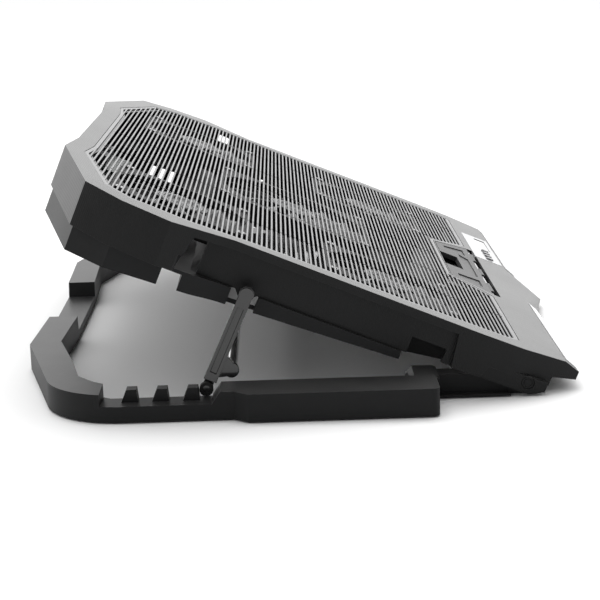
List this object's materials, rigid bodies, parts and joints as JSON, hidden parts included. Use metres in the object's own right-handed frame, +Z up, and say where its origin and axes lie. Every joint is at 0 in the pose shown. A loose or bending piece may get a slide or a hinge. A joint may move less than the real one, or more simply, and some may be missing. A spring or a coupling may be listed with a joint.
{
  "type": "laptop cooling pad",
  "caption": "Tilting laptop cooling pad: wedge deck with slotted mesh and fans, flip-up laptop stop, control panel, U-shaped base with stepped slots and a folding prop",
  "frame": {"origin": "middle of the bounding box on the surface that the pad stands on, with the deck propped in its highest slot", "axes": "+X to the user's right, +Y from the user to the raised back edge, +Z up"},
  "size_m": [0.41, 0.2744, 0.1136],
  "materials": {
    "shell_plastic": "fine-grained dark charcoal plastic",
    "mesh_metal": "black powder-coated slotted sheet",
    "fan_plastic": "black moulded plastic",
    "impeller_plastic": "dark smooth plastic",
    "steel": "plated steel",
    "stop_plastic": "dark grey plastic",
    "panel_plastic": "light silver-grey plastic",
    "display": "dark display window",
    "circuit_board": "green lacquered board",
    "trim_plastic": "light grey translucent strip",
    "rubber": "soft black rubber",
    "gloss_black": "glossy black",
    "base_plastic": "fine-grained dark charcoal plastic"
  },
  "bodies": {
    "base": {"base_frame": "base_plastic", "base_feet": "rubber", "hinge_pin_right": "base_plastic", "hinge_pin_left": "base_plastic"},
    "deck": {"upper_shell": "shell_plastic", "lower_shell": "shell_plastic", "mesh_panel": "mesh_metal", "fan_frame_front_right": "fan_plastic", "fan_frame_front_left": "fan_plastic", "fan_frame_back_right": "fan_plastic", "fan_frame_back_left": "fan_plastic", "fan_frame_middle": "fan_plastic", "fan_screws": "steel", "shell_screws": "steel", "stop_pin": "steel", "prop_pin_right": "gloss_black", "prop_pin_left": "gloss_black", "usb_socket_left": "steel", "usb_socket_right": "steel", "control_bezel": "panel_plastic", "lcd_window": "display", "control_board": "circuit_board", "usb_board": "circuit_board", "front_trim_right": "trim_plastic", "front_trim_left": "trim_plastic", "deck_bumpers": "rubber"},
    "prop": {"prop_arm_right": "gloss_black", "prop_arm_left": "gloss_black", "prop_crossbar": "gloss_black", "prop_foot_right": "rubber", "prop_foot_left": "rubber"},
    "stop_flap": {"laptop_stop": "stop_plastic"},
    "fan_front_right": {"impeller_front_right": "impeller_plastic"},
    "fan_front_left": {"impeller_front_left": "impeller_plastic"},
    "fan_back_right": {"impeller_back_right": "impeller_plastic"},
    "fan_back_left": {"impeller_back_left": "impeller_plastic"},
    "fan_middle": {"impeller_middle": "impeller_plastic"},
    "button_1_key": {"button_1": "panel_plastic"},
    "button_2_key": {"button_2": "panel_plastic"},
    "button_3_key": {"button_3": "panel_plastic"},
    "button_4_key": {"button_4": "panel_plastic"}
  },
  "joints": [
    {"name": "deck_tilt", "type": "hinge", "parent": "base", "child": "deck", "pos_m": [0, -0.10331, 0.0065], "axis": [1, 0, 0], "range_deg": [-15.4, 0]},
    {"name": "prop_swing", "type": "hinge", "parent": "deck", "child": "prop", "pos_m": [0, 0.02503, 0.05474], "axis": [1, 0, 0], "range_deg": [0, 90.9]},
    {"name": "stop_flip", "type": "hinge", "parent": "deck", "child": "stop_flap", "pos_m": [0, -0.10295, 0.01979], "axis": [1, 0, 0], "range_deg": [0, 85]},
    {"name": "fan_spin_front_right", "type": "hinge", "parent": "deck", "child": "fan_front_right", "pos_m": [0.108, -0.04262, 0.03757], "axis": [0, -0.3891, 0.9212], "continuous": true},
    {"name": "fan_spin_front_left", "type": "hinge", "parent": "deck", "child": "fan_front_left", "pos_m": [-0.108, -0.04262, 0.03757], "axis": [0, -0.3891, 0.9212], "continuous": true},
    {"name": "fan_spin_back_right", "type": "hinge", "parent": "deck", "child": "fan_back_right", "pos_m": [0.108, 0.05871, 0.08037], "axis": [0, -0.3891, 0.9212], "continuous": true},
    {"name": "fan_spin_back_left", "type": "hinge", "parent": "deck", "child": "fan_back_left", "pos_m": [-0.108, 0.05871, 0.08037], "axis": [0, -0.3891, 0.9212], "continuous": true},
    {"name": "fan_spin_middle", "type": "hinge", "parent": "deck", "child": "fan_middle", "pos_m": [0, 0.00344, 0.05702], "axis": [0, -0.3891, 0.9212], "continuous": true},
    {"name": "button_1_press", "type": "slide", "parent": "deck", "child": "button_1_key", "axis": [0, 0.3891, -0.9212], "range_m": [0, 0.0006], "stiffness_N_per_m": 400},
    {"name": "button_2_press", "type": "slide", "parent": "deck", "child": "button_2_key", "axis": [0, 0.3891, -0.9212], "range_m": [0, 0.0006], "stiffness_N_per_m": 400},
    {"name": "button_3_press", "type": "slide", "parent": "deck", "child": "button_3_key", "axis": [0, 0.3891, -0.9212], "range_m": [0, 0.0006], "stiffness_N_per_m": 400},
    {"name": "button_4_press", "type": "slide", "parent": "deck", "child": "button_4_key", "axis": [0, 0.3891, -0.9212], "range_m": [0, 0.0006], "stiffness_N_per_m": 400}
  ],
  "couplings": [
    {"joint": "prop_swing", "follows": "deck_tilt", "ratio": -5.9}
  ]
}
